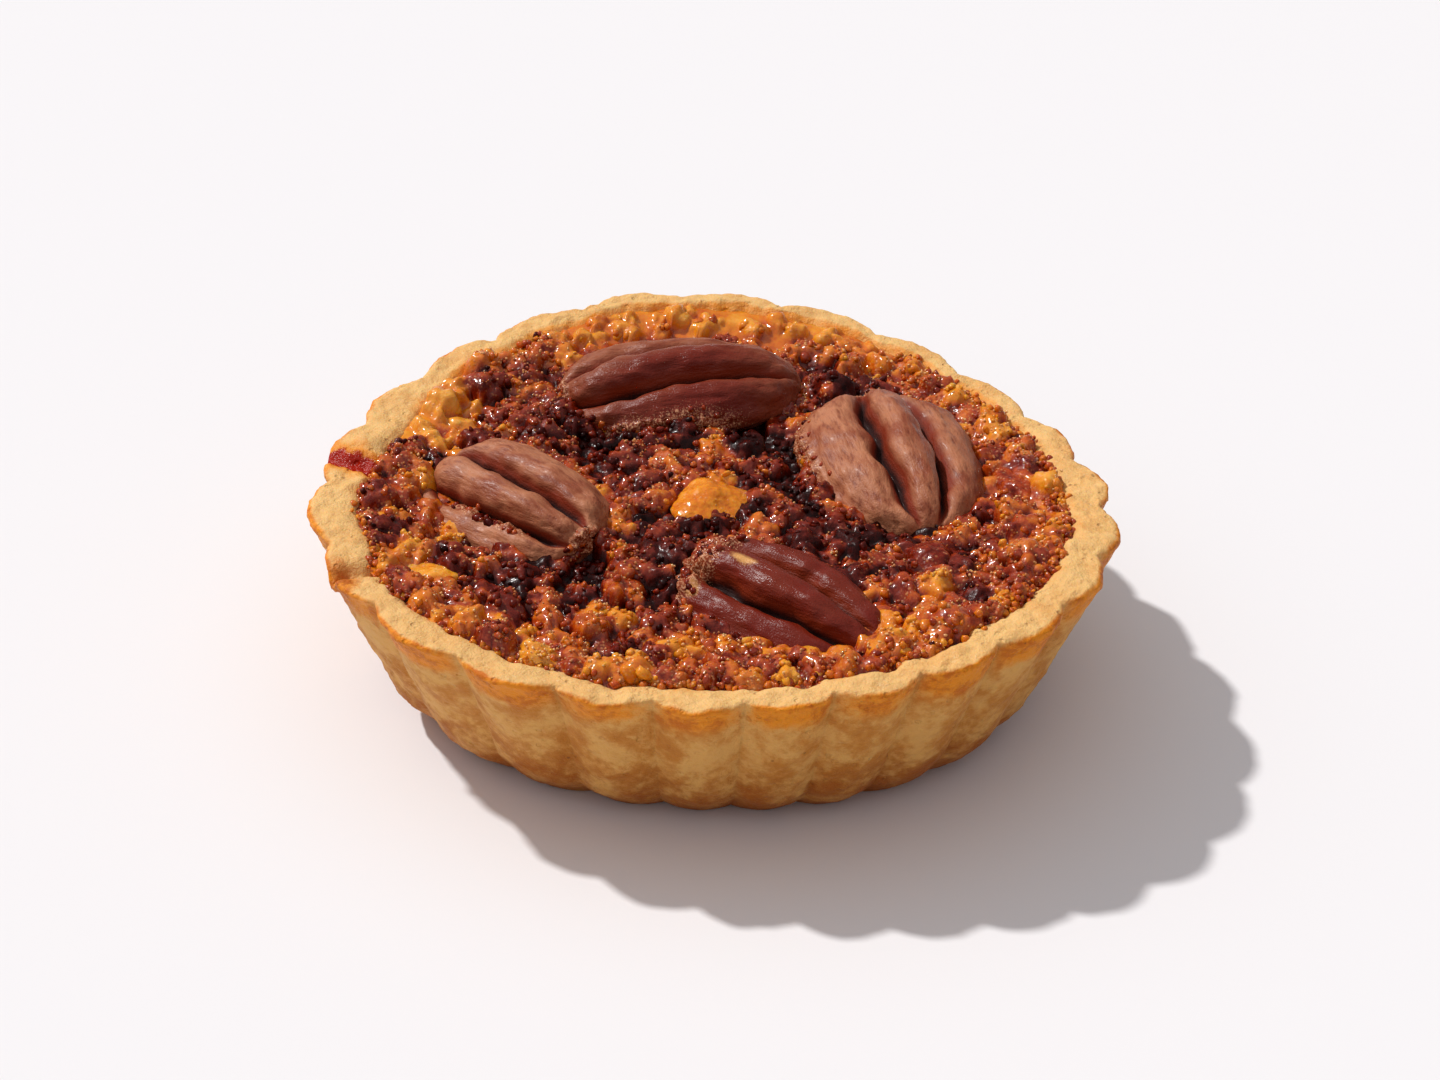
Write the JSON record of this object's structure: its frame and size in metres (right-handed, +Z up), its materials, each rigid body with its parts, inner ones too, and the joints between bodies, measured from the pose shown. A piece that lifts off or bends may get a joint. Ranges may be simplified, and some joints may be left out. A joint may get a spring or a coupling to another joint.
{
  "type": "pecan tart",
  "caption": "Small round pecan tart: fluted shortcrust cup, craggy caramel nut filling, and pecan halves and nut pieces on top.",
  "frame": {"origin": "on the surface the tart stands on, under the middle of its outline", "axes": "+Z up, out of the filling; +X to the right and +Y away in the view the tart was modelled from"},
  "size_m": [0.0863, 0.085, 0.0253],
  "materials": {
    "pastry": "baked golden shortcrust, matte, browned under the rim",
    "caramel_crumb": "sticky caramelised crumb, glossy and uneven",
    "pecan_skin": "roasted nut skin, dull with a slight sheen",
    "glazed_nut": "nut flesh under a syrup glaze"
  },
  "bodies": {
    "root": {"crust": "pastry", "filling": "caramel_crumb", "pecan_back": "pecan_skin", "pecan_right": "pecan_skin", "pecan_left": "pecan_skin", "pecan_front": "pecan_skin", "nut_piece_centre": "glazed_nut", "nut_piece_dark": "glazed_nut", "nut_piece_amber": "glazed_nut", "nut_piece_gold": "glazed_nut", "nut_piece_rim": "glazed_nut"}
  },
  "joints": []
}
